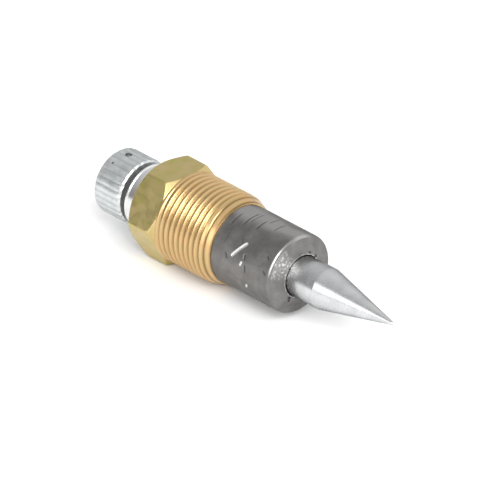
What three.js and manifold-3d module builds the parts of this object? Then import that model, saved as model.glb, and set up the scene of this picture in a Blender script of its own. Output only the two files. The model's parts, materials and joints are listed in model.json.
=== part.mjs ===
// Oil burner nozzle cartridge with an adjustable metering needle.
// Millimetres. +X runs along the axis towards the needle's tip, +Z is up.
// The origin is on the axis, in the plane where the hexagon ends and the male thread starts.

import * as THREE from 'three';
import { mergeVertices } from 'three/addons/utils/BufferGeometryUtils.js';
import Module from 'manifold-3d';

const wasm = await Module();
wasm.setup();

// ---- driving dimensions ----

const ROUND_SIDES = 36;
const FIT = 0.05; // radial clearance of running fits and of pressed or screwed pieces
const FACE_GAP = 0.02; // axial gap between pieces that touch
const EDGE = 0.2; // chamfer on the plain edges of inner pieces
const OVERSHOOT = 1.0; // how far a bore's cutter runs past the piece it cuts
const CORNER_MARGIN = 0.05; // how far a chamfer's cutter reaches past the corners it trims

const THREAD_RADIUS = 14.2875 / 2; // 9/16-24 UNEF
const THREAD_LENGTH = 11.0;
const THREAD_LEAD_DEPTH = 0.76; // taper that leads the thread's front end into its port
const THREAD_LEAD_LENGTH = 2.0;
const THREAD_RUN_IN = 0.4; // length of the thread's cylinder that is sunk in the hexagon

const HEX_ACROSS_FLATS = 14.0;
const HEX_LENGTH = 5.77;
const HEX_CORNER_RADIUS = HEX_ACROSS_FLATS / 2 / Math.cos(Math.PI / 6);
const HEX_CHAMFER_RADIUS = 6.9; // round rim of the hexagon's end faces, just inside the flats
const HEX_REAR_CHAMFER = 1.04;
const HEX_FRONT_CHAMFER = 0.85;

const SLEEVE_RADIUS = 6.22;
const SLEEVE_TAIL_RADIUS = 5.7;
const SLEEVE_RIM_X = 23.3;
const SLEEVE_RIM_ROUND = 0.4;
const SLEEVE_RIM_STEPS = 3;
const SLEEVE_MOUTH_X = 24.05;
const SLEEVE_MOUTH_RADIUS = 3.37;
const SLEEVE_LIP = 0.15; // flat rim around the mouth
const SPRING_CHAMBER_RADIUS = 4.5;

const NEEDLE_SHANK_RADIUS = 3.15;
const NEEDLE_HEAD_RADIUS = 3.27;
const NEEDLE_SWELL_X = [24.1, 28.0]; // where the shank widens into the head
const NEEDLE_SWELL_STEPS = 5;
const NEEDLE_HOLE_END_X = 18.0;
const NEEDLE_CONE_X = 29.4;
const NEEDLE_TIP_X = 43.5;
const NEEDLE_TIP_RADIUS = 0.32;
const NEEDLE_NOSE_LENGTH = 0.08;
const NEEDLE_NOSE_RADIUS = 0.224;

const STEM_RADIUS = 2.4;
const DRIVE_THREAD_RADIUS = 3.0; // M6 x 1
const DRIVE_THREAD_X = [2.6, 8.7];
const DRIVE_THREAD_TAPER = 0.4;
const SPINDLE_FRONT_RADIUS = 2.5;
const SPINDLE_FRONT_X = 14.0;
const STUD_RADIUS = 1.5;
const STUD_END_X = 17.7;
const RING_GROOVE_X = [9.58, 10.22];
const RING_GROOVE_RADIUS = 2.05;
const RETAINING_RING_RADIUS = 3.4;
const RETAINING_RING_GAP = 0.03; // radial gap between the ring and its groove's floor
const RETAINING_RING_HALF_OPENING = Math.PI / 6;

const KNOB_X = [-15.6, -10.0];
const KNOB_RADIUS = 5.15;
const KNOB_RIBS = 28;
const KNOB_RIB_DEPTH = 0.3;
const KNOB_CHAMFER = 0.38;
const KNOB_BORE_END_X = -14.55;
const GRUB_X = -13.3;
const GRUB_RADIUS = 0.5;
const GRUB_SIDES = 16;
const GRUB_TOP = 4.45;
const GRUB_SOCKET_RADIUS = 0.28;
const GRUB_SOCKET_DEPTH = 0.6;
const GRUB_SOCKET_SIDES = 6;

const GLAND_RADIUS = 5.0;
const GLAND_HEAD_X = [-9.25, -6.2];
const GLAND_THREAD_RADIUS = 4.4;
const GLAND_THREAD_END_X = -3.4;
const GLAND_EDGE = 0.15;
const GLAND_RECESS_RADIUS = 5.25; // shallow recess in the hexagon that the gland's seal lies in
const GLAND_RECESS_DEPTH = 0.1;
const WIPER_SEAT_RADIUS = 3.6;
const WIPER_SEAT_X = -7.9;
const SPANNER_HOLE_RADIUS = 0.4;
const SPANNER_HOLE_SIDES = 12;
const SPANNER_HOLE_DEPTH = 1.0;
const SPANNER_HOLE_CIRCLE = 4.3;

const SEAL_CHAMBER_X = [-2.98, -0.5];
const SEAL_CHAMBER_RADIUS = 3.65;
const O_RING_SECTION = 0.5; // radius of the stem O-rings' round section
const O_RING_CORNERS = 8;
const O_RING_GAP = 0.03; // radial gap between an unsqueezed O-ring and what it sits on
const SLEEVE_RING_SECTION = 0.34;
const SLEEVE_GROOVE_X = [8.2, 9.0];
const SLEEVE_GROOVE_RADIUS = 5.0;

const TAIL_SEAT_X = 6.5; // floor of the sleeve's seat in the brass body
const WASHER_THICKNESS = 0.6;
const SPRING_SEAT_X = 17.07; // step in the sleeve that the spring's fixed washer rests on
const BUSH_END_X = 20.35;
const BUSH_RADIUS = 3.9;
const SPRING_WIRE_RADIUS = 0.35;
const SPRING_RADIUS = 3.6;
const SPRING_TURNS = 5;
const SPRING_CLOSED_GAP = 0.05; // gap between the wires of a closed end turn
const SPRING_WIRE_SIDES = 6;
const SPRING_STEPS_PER_TURN = 16;
const LOCK_NUT_ACROSS_FLATS = 4.6;
const LOCK_NUT_END_X = 15.18;

const MERGE_TOLERANCE = 1e-4;
const ARC_SEGMENTS = 12;

// ---- materials ----

function metal(color, roughness) {
  return new THREE.MeshStandardMaterial({ color, roughness, metalness: 1 });
}

function nonMetal(color, roughness) {
  return new THREE.MeshStandardMaterial({ color, roughness, metalness: 0 });
}

const brass = metal(0xc9a86a, 0.32);
const darkSteel = metal(0x6b6966, 0.42);
const polishedSteel = metal(0xd4d6d8, 0.16);
const turnedSteel = metal(0xb3b8b8, 0.3);
const knurledSteel = metal(0xc3c7c8, 0.34);
const bronze = metal(0xa9793f, 0.4);
const springSteel = metal(0x8d8f92, 0.35);
const copper = metal(0xb87350, 0.4);
const blackRubber = nonMetal(0x1c1c1c, 0.7);
const whitePlastic = nonMetal(0xe9e6dd, 0.55);
const greyFelt = nonMetal(0x77736b, 0.95);

// ---- shape helpers ----

// Local axes x, y, z become the listed ones.
const LATHE_TO_X = new THREE.Matrix4().makeBasis(
  new THREE.Vector3(0, 0, 1), new THREE.Vector3(1, 0, 0), new THREE.Vector3(0, 1, 0));
const PLATE_TO_X = new THREE.Matrix4().makeBasis(
  new THREE.Vector3(0, 1, 0), new THREE.Vector3(0, 0, 1), new THREE.Vector3(1, 0, 0));

// Turns a profile of [x, radius] points about the X axis. The outside runs towards +X.
function turned(profile) {
  const points = profile.map(([x, radius]) => new THREE.Vector2(radius, x));
  return new THREE.LatheGeometry(points, ROUND_SIDES).applyMatrix4(LATHE_TO_X);
}

// A turned piece with a hole through it: its profile closes on itself.
function turnedRing(profile) {
  return turned([...profile, profile[0]]);
}

function washer([x0, x1], innerRadius, outerRadius) {
  return turnedRing([[x0, innerRadius], [x0, outerRadius], [x1, outerRadius], [x1, innerRadius]]);
}

function oRing(x, radius, section) {
  const profile = [];
  for (let i = 0; i < O_RING_CORNERS; i += 1) {
    const angle = (2 * Math.PI * i) / O_RING_CORNERS;
    profile.push([x - section * Math.cos(angle), radius + section * Math.sin(angle)]);
  }
  return turnedRing(profile);
}

// Extrudes an outline, drawn in the Y-Z plane, along X.
function plate(shape, [x0, x1]) {
  const options = { depth: x1 - x0, bevelEnabled: false, curveSegments: ARC_SEGMENTS };
  return new THREE.ExtrudeGeometry(shape, options).applyMatrix4(PLATE_TO_X).translate(x0, 0, 0);
}

function outline(count, radiusAt) {
  const points = [];
  for (let i = 0; i < count; i += 1) {
    const angle = (2 * Math.PI * i) / count;
    const radius = radiusAt(i);
    points.push(new THREE.Vector2(radius * Math.cos(angle), radius * Math.sin(angle)));
  }
  return new THREE.Shape(points);
}

function regularPolygon(count, radius) {
  return outline(count, () => radius);
}

function solid(geometry) {
  const bare = geometry.clone();
  bare.deleteAttribute('normal');
  bare.deleteAttribute('uv');
  const merged = mergeVertices(bare, MERGE_TOLERANCE);
  return new wasm.Manifold(new wasm.Mesh({
    numProp: 3,
    vertProperties: new Float32Array(merged.attributes.position.array),
    triVerts: new Uint32Array(merged.index.array),
  }));
}

function geometryOf(manifold) {
  const mesh = manifold.getMesh();
  const geometry = new THREE.BufferGeometry();
  geometry.setAttribute('position', new THREE.BufferAttribute(mesh.vertProperties, 3));
  geometry.setIndex(new THREE.BufferAttribute(mesh.triVerts, 1));
  geometry.computeVertexNormals();
  return geometry;
}

// ---- the fixed pieces ----

function hexBody() {
  const hexagon = solid(plate(regularPolygon(6, HEX_CORNER_RADIUS), [-HEX_LENGTH, 0]));
  const beyondCorners = HEX_CORNER_RADIUS + CORNER_MARGIN;
  const chamfers = solid(turned([
    [-HEX_LENGTH, 0],
    [-HEX_LENGTH, HEX_CHAMFER_RADIUS],
    [-HEX_LENGTH + HEX_REAR_CHAMFER, beyondCorners],
    [-HEX_FRONT_CHAMFER, beyondCorners],
    [0, HEX_CHAMFER_RADIUS],
    [0, 0],
  ]));
  const thread = solid(turned([
    [-THREAD_RUN_IN, 0],
    [-THREAD_RUN_IN, THREAD_RADIUS],
    [THREAD_LENGTH - THREAD_LEAD_LENGTH, THREAD_RADIUS],
    [THREAD_LENGTH, THREAD_RADIUS - THREAD_LEAD_DEPTH],
    [THREAD_LENGTH, 0],
  ]));
  const recessFloor = -HEX_LENGTH + GLAND_RECESS_DEPTH;
  const bores = solid(turned([
    [-HEX_LENGTH - OVERSHOOT, 0],
    [-HEX_LENGTH - OVERSHOOT, GLAND_RECESS_RADIUS],
    [recessFloor, GLAND_RECESS_RADIUS],
    [recessFloor, GLAND_THREAD_RADIUS + FIT],
    [SEAL_CHAMBER_X[0], GLAND_THREAD_RADIUS + FIT],
    [SEAL_CHAMBER_X[0], SEAL_CHAMBER_RADIUS],
    [SEAL_CHAMBER_X[1], SEAL_CHAMBER_RADIUS],
    [SEAL_CHAMBER_X[1], DRIVE_THREAD_RADIUS + FIT],
    [TAIL_SEAT_X, DRIVE_THREAD_RADIUS + FIT],
    [TAIL_SEAT_X, SLEEVE_TAIL_RADIUS + FIT],
    [THREAD_LENGTH + OVERSHOOT, SLEEVE_TAIL_RADIUS + FIT],
    [THREAD_LENGTH + OVERSHOOT, 0],
  ]));
  return geometryOf(hexagon.intersect(chamfers).add(thread).subtract(bores));
}

function guideSleeve() {
  const tail = TAIL_SEAT_X + FACE_GAP;
  const shoulder = THREAD_LENGTH + FACE_GAP;
  const rimRound = [];
  for (let i = 0; i <= SLEEVE_RIM_STEPS; i += 1) {
    const angle = (Math.PI / 2) * (i / SLEEVE_RIM_STEPS);
    rimRound.push([
      SLEEVE_RIM_X - SLEEVE_RIM_ROUND + SLEEVE_RIM_ROUND * Math.sin(angle),
      SLEEVE_RADIUS - SLEEVE_RIM_ROUND + SLEEVE_RIM_ROUND * Math.cos(angle),
    ]);
  }
  return turnedRing([
    [tail, SPRING_CHAMBER_RADIUS],
    [tail, SLEEVE_TAIL_RADIUS - EDGE],
    [tail + EDGE, SLEEVE_TAIL_RADIUS],
    [SLEEVE_GROOVE_X[0], SLEEVE_TAIL_RADIUS],
    [SLEEVE_GROOVE_X[0], SLEEVE_GROOVE_RADIUS],
    [SLEEVE_GROOVE_X[1], SLEEVE_GROOVE_RADIUS],
    [SLEEVE_GROOVE_X[1], SLEEVE_TAIL_RADIUS],
    [shoulder, SLEEVE_TAIL_RADIUS],
    [shoulder, SLEEVE_RADIUS],
    ...rimRound,
    [SLEEVE_MOUTH_X, SLEEVE_MOUTH_RADIUS + SLEEVE_LIP],
    [SLEEVE_MOUTH_X, SLEEVE_MOUTH_RADIUS],
    [BUSH_END_X, SLEEVE_MOUTH_RADIUS],
    [BUSH_END_X, BUSH_RADIUS + FIT],
    [SPRING_SEAT_X, BUSH_RADIUS + FIT],
    [SPRING_SEAT_X, SPRING_CHAMBER_RADIUS],
  ]);
}

function frontGuideBush() {
  const rear = SPRING_SEAT_X + FACE_GAP;
  const front = BUSH_END_X - FACE_GAP;
  return turnedRing([
    [rear, NEEDLE_SHANK_RADIUS + FIT],
    [rear, BUSH_RADIUS],
    [front - EDGE, BUSH_RADIUS],
    [front, BUSH_RADIUS - EDGE],
    [front, NEEDLE_SHANK_RADIUS + FIT],
  ]);
}

function glandNut() {
  const [rear, front] = GLAND_HEAD_X;
  const body = solid(turnedRing([
    [rear, WIPER_SEAT_RADIUS],
    [rear, GLAND_RADIUS - GLAND_EDGE],
    [rear + GLAND_EDGE, GLAND_RADIUS],
    [front - GLAND_EDGE, GLAND_RADIUS],
    [front, GLAND_RADIUS - GLAND_EDGE],
    [front, GLAND_THREAD_RADIUS],
    [GLAND_THREAD_END_X - GLAND_EDGE, GLAND_THREAD_RADIUS],
    [GLAND_THREAD_END_X, GLAND_THREAD_RADIUS - GLAND_EDGE],
    [GLAND_THREAD_END_X, STEM_RADIUS + FIT],
    [WIPER_SEAT_X, STEM_RADIUS + FIT],
    [WIPER_SEAT_X, WIPER_SEAT_RADIUS],
  ]));
  const hole = plate(
    regularPolygon(SPANNER_HOLE_SIDES, SPANNER_HOLE_RADIUS),
    [rear - OVERSHOOT, rear + SPANNER_HOLE_DEPTH],
  );
  const above = solid(hole.clone().translate(0, 0, SPANNER_HOLE_CIRCLE));
  const below = solid(hole.clone().translate(0, 0, -SPANNER_HOLE_CIRCLE));
  return geometryOf(body.subtract(above).subtract(below));
}

function stemWiper() {
  const ends = [GLAND_HEAD_X[0] + FIT, WIPER_SEAT_X - FACE_GAP];
  return washer(ends, STEM_RADIUS + FIT, WIPER_SEAT_RADIUS - FIT);
}

function glandWasher() {
  const ends = [GLAND_THREAD_END_X + FACE_GAP, SEAL_CHAMBER_X[0] - FACE_GAP];
  return washer(ends, STEM_RADIUS + FIT, GLAND_THREAD_RADIUS);
}

function glandSealRing() {
  const ends = [GLAND_HEAD_X[1] + FACE_GAP, -HEX_LENGTH + GLAND_RECESS_DEPTH - FACE_GAP];
  return washer(ends, GLAND_THREAD_RADIUS + FIT, GLAND_RADIUS - FIT);
}

// Rear O-ring, spacer and front O-ring fill the seal chamber one after another.
const rearRingX = SEAL_CHAMBER_X[0] + FACE_GAP + O_RING_SECTION;
const frontRingX = SEAL_CHAMBER_X[1] - FACE_GAP - O_RING_SECTION;
const stemRingRadius = STEM_RADIUS + O_RING_GAP + O_RING_SECTION;

function oRingSpacer() {
  const ends = [
    rearRingX + O_RING_SECTION + FACE_GAP,
    frontRingX - O_RING_SECTION - FACE_GAP,
  ];
  return washer(ends, STEM_RADIUS + FIT, SEAL_CHAMBER_RADIUS - FIT);
}

function sleeveORing() {
  const middle = (SLEEVE_GROOVE_X[0] + SLEEVE_GROOVE_X[1]) / 2;
  return oRing(middle, SLEEVE_GROOVE_RADIUS + O_RING_GAP + SLEEVE_RING_SECTION, SLEEVE_RING_SECTION);
}

function springSeatWasher() {
  const front = SPRING_SEAT_X - FACE_GAP;
  const ends = [front - WASHER_THICKNESS, front];
  return washer(ends, NEEDLE_SHANK_RADIUS + 2 * FIT, SPRING_CHAMBER_RADIUS - 2 * FIT);
}

// ---- the spring and the washer that slides with the spindle ----

const thrustWasherX = RING_GROOVE_X[1] + FACE_GAP;
const springX = [
  thrustWasherX + WASHER_THICKNESS + FACE_GAP,
  SPRING_SEAT_X - WASHER_THICKNESS - 2 * FACE_GAP,
];

function thrustWasher() {
  const ends = [thrustWasherX, thrustWasherX + WASHER_THICKNESS];
  return washer(ends, SPINDLE_FRONT_RADIUS + FIT, SPRING_CHAMBER_RADIUS - 2 * FIT);
}

// Wire centre line of a compression spring whose first and last turns are closed.
class SpringCurve extends THREE.Curve {
  getPoint(t, target = new THREE.Vector3()) {
    const closedPitch = 2 * SPRING_WIRE_RADIUS + SPRING_CLOSED_GAP;
    const turn = t * SPRING_TURNS;
    const start = springX[0] + SPRING_WIRE_RADIUS;
    const end = springX[1] - SPRING_WIRE_RADIUS;
    const openPitch = (end - start - 2 * closedPitch) / (SPRING_TURNS - 2);
    let x = start + closedPitch * turn;
    if (turn > 1) x = start + closedPitch + openPitch * (turn - 1);
    if (turn > SPRING_TURNS - 1) x = end - closedPitch * (SPRING_TURNS - turn);
    const angle = 2 * Math.PI * turn;
    return target.set(x, SPRING_RADIUS * Math.cos(angle), SPRING_RADIUS * Math.sin(angle));
  }
}

function backlashSpring() {
  const wire = regularPolygon(SPRING_WIRE_SIDES, SPRING_WIRE_RADIUS);
  return new THREE.ExtrudeGeometry(wire, {
    steps: SPRING_TURNS * SPRING_STEPS_PER_TURN,
    bevelEnabled: false,
    extrudePath: new SpringCurve(),
  });
}

// ---- the pieces that turn ----

function spindle() {
  const rear = KNOB_BORE_END_X + FIT;
  const [threadStart, threadEnd] = DRIVE_THREAD_X;
  return turned([
    [rear, 0],
    [rear, STEM_RADIUS - EDGE],
    [rear + EDGE, STEM_RADIUS],
    [threadStart, STEM_RADIUS],
    [threadStart + DRIVE_THREAD_TAPER, DRIVE_THREAD_RADIUS],
    [threadEnd - DRIVE_THREAD_TAPER, DRIVE_THREAD_RADIUS],
    [threadEnd, SPINDLE_FRONT_RADIUS],
    [RING_GROOVE_X[0], SPINDLE_FRONT_RADIUS],
    [RING_GROOVE_X[0], RING_GROOVE_RADIUS],
    [RING_GROOVE_X[1], RING_GROOVE_RADIUS],
    [RING_GROOVE_X[1], SPINDLE_FRONT_RADIUS],
    [SPINDLE_FRONT_X, SPINDLE_FRONT_RADIUS],
    [SPINDLE_FRONT_X, STUD_RADIUS],
    [STUD_END_X - EDGE, STUD_RADIUS],
    [STUD_END_X, STUD_RADIUS - EDGE],
    [STUD_END_X, 0],
  ]);
}

function retainingRing() {
  const innerRadius = RING_GROOVE_RADIUS + RETAINING_RING_GAP;
  const from = RETAINING_RING_HALF_OPENING;
  const to = 2 * Math.PI - RETAINING_RING_HALF_OPENING;
  const shape = new THREE.Shape();
  shape.absarc(0, 0, RETAINING_RING_RADIUS, from, to, false);
  shape.absarc(0, 0, innerRadius, to, from, true);
  return plate(shape, [RING_GROOVE_X[0] + FACE_GAP, RING_GROOVE_X[1] - FACE_GAP]);
}

const lockNutX = [SPINDLE_FRONT_X + FACE_GAP, LOCK_NUT_END_X];

function needleLockNut() {
  const shape = regularPolygon(6, LOCK_NUT_ACROSS_FLATS / 2 / Math.cos(Math.PI / 6));
  shape.holes.push(regularPolygon(ROUND_SIDES, STUD_RADIUS + FIT));
  return plate(shape, lockNutX);
}

function needle() {
  const rear = LOCK_NUT_END_X + FACE_GAP;
  const [swellStart, swellEnd] = NEEDLE_SWELL_X;
  const swell = [];
  for (let i = 0; i <= NEEDLE_SWELL_STEPS; i += 1) {
    const along = i / NEEDLE_SWELL_STEPS;
    const rise = Math.sin((Math.PI / 2) * along);
    swell.push([
      swellStart + (swellEnd - swellStart) * along,
      NEEDLE_SHANK_RADIUS + (NEEDLE_HEAD_RADIUS - NEEDLE_SHANK_RADIUS) * rise,
    ]);
  }
  return turned([
    [NEEDLE_HOLE_END_X, 0],
    [NEEDLE_HOLE_END_X, STUD_RADIUS + FIT],
    [rear, STUD_RADIUS + FIT],
    [rear, NEEDLE_SHANK_RADIUS],
    ...swell,
    [NEEDLE_CONE_X, NEEDLE_HEAD_RADIUS],
    [NEEDLE_TIP_X - NEEDLE_TIP_RADIUS, NEEDLE_TIP_RADIUS],
    [NEEDLE_TIP_X - NEEDLE_NOSE_LENGTH, NEEDLE_NOSE_RADIUS],
    [NEEDLE_TIP_X, 0],
  ]);
}

// A round bar that stands along +Z at GRUB_X.
function uprightBar(radius, [z0, z1], sides = GRUB_SIDES) {
  return new THREE.CylinderGeometry(radius, radius, z1 - z0, sides)
    .rotateX(Math.PI / 2)
    .translate(GRUB_X, 0, (z0 + z1) / 2);
}

function knob() {
  const [rear, front] = KNOB_X;
  const ribRadius = (i) => (i % 2 === 0 ? KNOB_RADIUS : KNOB_RADIUS - KNOB_RIB_DEPTH);
  const ribbed = solid(plate(outline(2 * KNOB_RIBS, ribRadius), KNOB_X));
  const beyondRibs = KNOB_RADIUS + CORNER_MARGIN;
  const chamfers = solid(turned([
    [rear, 0],
    [rear, beyondRibs - KNOB_CHAMFER],
    [rear + KNOB_CHAMFER, beyondRibs],
    [front - KNOB_CHAMFER, beyondRibs],
    [front, beyondRibs - KNOB_CHAMFER],
    [front, 0],
  ]));
  const bore = solid(turned([
    [KNOB_BORE_END_X, 0],
    [KNOB_BORE_END_X, STEM_RADIUS + FIT],
    [front + OVERSHOOT, STEM_RADIUS + FIT],
    [front + OVERSHOOT, 0],
  ]));
  const grubHole = solid(uprightBar(GRUB_RADIUS + FIT, [0, KNOB_RADIUS + OVERSHOOT]));
  return geometryOf(ribbed.intersect(chamfers).subtract(bore).subtract(grubHole));
}

function knobGrubScrew() {
  const bottom = STEM_RADIUS + FACE_GAP;
  const body = solid(uprightBar(GRUB_RADIUS, [bottom, GRUB_TOP]));
  const socketZ = [GRUB_TOP - GRUB_SOCKET_DEPTH, GRUB_TOP + OVERSHOOT];
  const socket = solid(uprightBar(GRUB_SOCKET_RADIUS, socketZ, GRUB_SOCKET_SIDES));
  return geometryOf(body.subtract(socket));
}

// ---- assembly ----

const pieces = [
  ['hex_body', hexBody(), brass],
  ['guide_sleeve', guideSleeve(), darkSteel],
  ['front_guide_bush', frontGuideBush(), bronze],
  ['gland_nut', glandNut(), turnedSteel],
  ['gland_seal_ring', glandSealRing(), copper],
  ['stem_wiper', stemWiper(), greyFelt],
  ['gland_washer', glandWasher(), turnedSteel],
  ['stem_o_ring_rear', oRing(rearRingX, stemRingRadius, O_RING_SECTION), blackRubber],
  ['o_ring_spacer', oRingSpacer(), whitePlastic],
  ['stem_o_ring_front', oRing(frontRingX, stemRingRadius, O_RING_SECTION), blackRubber],
  ['sleeve_o_ring', sleeveORing(), blackRubber],
  ['spring_seat_washer', springSeatWasher(), turnedSteel],
  ['backlash_spring', backlashSpring(), springSteel],
  ['thrust_washer', thrustWasher(), turnedSteel],
  ['spindle', spindle(), turnedSteel],
  ['retaining_ring', retainingRing(), springSteel],
  ['needle_lock_nut', needleLockNut(), turnedSteel],
  ['needle', needle(), polishedSteel],
  ['knob', knob(), knurledSteel],
  ['knob_grub_screw', knobGrubScrew(), springSteel],
];

const nozzle = new THREE.Group();
for (const [name, geometry, material] of pieces) {
  const mesh = new THREE.Mesh(geometry, material);
  mesh.name = name;
  nozzle.add(mesh);
}

export default nozzle;
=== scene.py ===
"""Looks of the adjustable oil burner nozzle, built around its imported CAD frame.

Metres, as in the frame: +X runs along the axis to the needle's tip and +Z is up.
An angle about the axis counts from +Y towards +Z.
"""
import json
import math

import bmesh
import bpy
from mathutils import Matrix, Vector, noise


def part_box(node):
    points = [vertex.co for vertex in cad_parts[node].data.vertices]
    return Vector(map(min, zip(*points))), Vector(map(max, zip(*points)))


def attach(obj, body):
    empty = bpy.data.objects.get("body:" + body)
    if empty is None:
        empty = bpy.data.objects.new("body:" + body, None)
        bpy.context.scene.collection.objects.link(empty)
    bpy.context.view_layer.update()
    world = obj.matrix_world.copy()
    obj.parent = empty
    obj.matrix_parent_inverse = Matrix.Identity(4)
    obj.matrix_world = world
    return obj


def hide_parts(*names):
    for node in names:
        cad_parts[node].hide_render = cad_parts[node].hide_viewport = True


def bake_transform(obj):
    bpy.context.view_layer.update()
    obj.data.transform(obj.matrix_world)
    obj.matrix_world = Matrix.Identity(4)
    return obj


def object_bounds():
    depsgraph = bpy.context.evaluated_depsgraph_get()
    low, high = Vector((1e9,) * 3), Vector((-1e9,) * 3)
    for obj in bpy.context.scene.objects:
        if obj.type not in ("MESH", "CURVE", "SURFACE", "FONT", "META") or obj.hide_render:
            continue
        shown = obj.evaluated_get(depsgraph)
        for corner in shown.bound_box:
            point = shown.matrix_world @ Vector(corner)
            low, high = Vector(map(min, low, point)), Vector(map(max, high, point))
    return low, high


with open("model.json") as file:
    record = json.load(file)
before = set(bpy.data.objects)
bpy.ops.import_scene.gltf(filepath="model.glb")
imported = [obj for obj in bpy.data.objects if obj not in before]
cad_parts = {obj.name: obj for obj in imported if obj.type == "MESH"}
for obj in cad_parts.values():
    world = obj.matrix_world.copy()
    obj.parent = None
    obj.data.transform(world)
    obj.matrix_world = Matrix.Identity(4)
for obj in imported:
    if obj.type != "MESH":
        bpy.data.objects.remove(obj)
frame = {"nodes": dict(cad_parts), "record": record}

MM = 0.001
TURN = 2 * math.pi
CAD_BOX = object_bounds()
RECORD = frame["record"]
BODY_OF = {node: body for body, nodes in RECORD["behaviour"]["bodies"].items() for node in nodes}
SLOT_OF = {part["node"]: part["material_slot"] for part in RECORD["subparts"]}


# ---- measures taken from the frame ----

def ends(node):
    """Lowest and highest X of a CAD node."""
    low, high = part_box(node)
    return low.x, high.x


def radii(node):
    """Smallest and largest distance of a CAD node's corners from the axis."""
    found = [math.hypot(v.co.y, v.co.z) for v in frame["nodes"][node].data.vertices]
    return min(found), max(found)


# ---- camera, light and floor ----

AZIMUTH = math.radians(46.9)
ELEVATION = math.radians(29.5)
VIEW_WIDTH = 73.0 * MM
TIP_RIGHT_OF_CENTRE = 20.92 * MM
TIP_BELOW_CENTRE = 10.79 * MM
LENS = 1400.0
SENSOR = 36.0


def make_camera():
    tip = Vector((CAD_BOX[1].x, 0, 0))
    back = Vector((
        math.sin(AZIMUTH) * math.cos(ELEVATION),
        -math.cos(AZIMUTH) * math.cos(ELEVATION),
        math.sin(ELEVATION),
    ))
    right = Vector((math.cos(AZIMUTH), math.sin(AZIMUTH), 0))
    up = back.cross(right)
    target = tip - right * TIP_RIGHT_OF_CENTRE + up * TIP_BELOW_CENTRE
    data = bpy.data.cameras.new("camera")
    data.lens = LENS
    data.sensor_width = SENSOR
    camera = bpy.data.objects.new("camera", data)
    camera.location = target + back * (VIEW_WIDTH * LENS / SENSOR)
    camera.rotation_mode = "QUATERNION"
    camera.rotation_quaternion = (-back).to_track_quat("-Z", "Y")
    data.clip_start = 0.01
    data.clip_end = 30.0
    bpy.context.scene.collection.objects.link(camera)
    bpy.context.scene.camera = camera


def softbox(name, direction, size, brightness, distance=0.5, aim=(0.014, 0, 0)):
    """A rectangular light whose face has the given brightness, turned towards the part."""
    data = bpy.data.lights.new(name, "AREA")
    data.shape = "RECTANGLE"
    data.size, data.size_y = size
    data.energy = brightness * math.pi * size[0] * size[1]
    light = bpy.data.objects.new(name, data)
    toward = Vector(direction).normalized()
    light.location = Vector(aim) + toward * distance
    light.rotation_mode = "QUATERNION"
    light.rotation_quaternion = toward.to_track_quat("Z", "Y")
    light.visible_camera = False
    bpy.context.scene.collection.objects.link(light)


BRIGHT_SIDE = (0.60, 0.60, 0.30)  # the room is brightest this way and dimmest the opposite way
ROOM_DIM, ROOM_BRIGHT = 0.22, 1.22


def make_lights():
    softbox("front_softbox", (0.02, -0.92, 0.38), (0.42, 0.34), 1.8)
    softbox("key_softbox", (0.62, -0.42, 0.66), (0.34, 0.34), 6.5)
    world = bpy.data.worlds.new("studio")
    world.use_nodes = True
    nodes, links = world.node_tree.nodes, world.node_tree.links
    coordinates = nodes.new("ShaderNodeTexCoord")
    facing = nodes.new("ShaderNodeVectorMath")
    facing.operation = "DOT_PRODUCT"
    facing.inputs[1].default_value = Vector(BRIGHT_SIDE).normalized()
    level = nodes.new("ShaderNodeMapRange")
    level.inputs["From Min"].default_value = -1.0
    level.inputs["From Max"].default_value = 1.0
    level.inputs["To Min"].default_value = ROOM_DIM
    level.inputs["To Max"].default_value = ROOM_BRIGHT
    background = nodes["Background"]
    background.inputs["Color"].default_value = (1, 1, 1, 1)
    links.new(coordinates.outputs["Generated"], facing.inputs[0])
    links.new(facing.outputs["Value"], level.inputs["Value"])
    links.new(level.outputs["Result"], background.inputs["Strength"])
    bpy.context.scene.world = world
    bpy.context.scene.view_settings.view_transform = "Standard"


def make_floor():
    half = 1.5
    mesh = bpy.data.meshes.new("floor")
    height = CAD_BOX[0].z
    corners = [(-half, -half, height), (half, -half, height), (half, half, height), (-half, half, height)]
    mesh.from_pydata(corners, [], [(0, 1, 2, 3)])
    floor = bpy.data.objects.new("floor", mesh)
    material = bpy.data.materials.new("pale_floor")
    material.use_nodes = True
    shader = material.node_tree.nodes["Principled BSDF"]
    shader.inputs["Base Color"].default_value = (0.93, 0.93, 0.93, 1)
    shader.inputs["Roughness"].default_value = 0.9
    shader.inputs["Specular IOR Level"].default_value = 0.1
    mesh.materials.append(material)
    bpy.context.scene.collection.objects.link(floor)


# ---- materials ----

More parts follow.
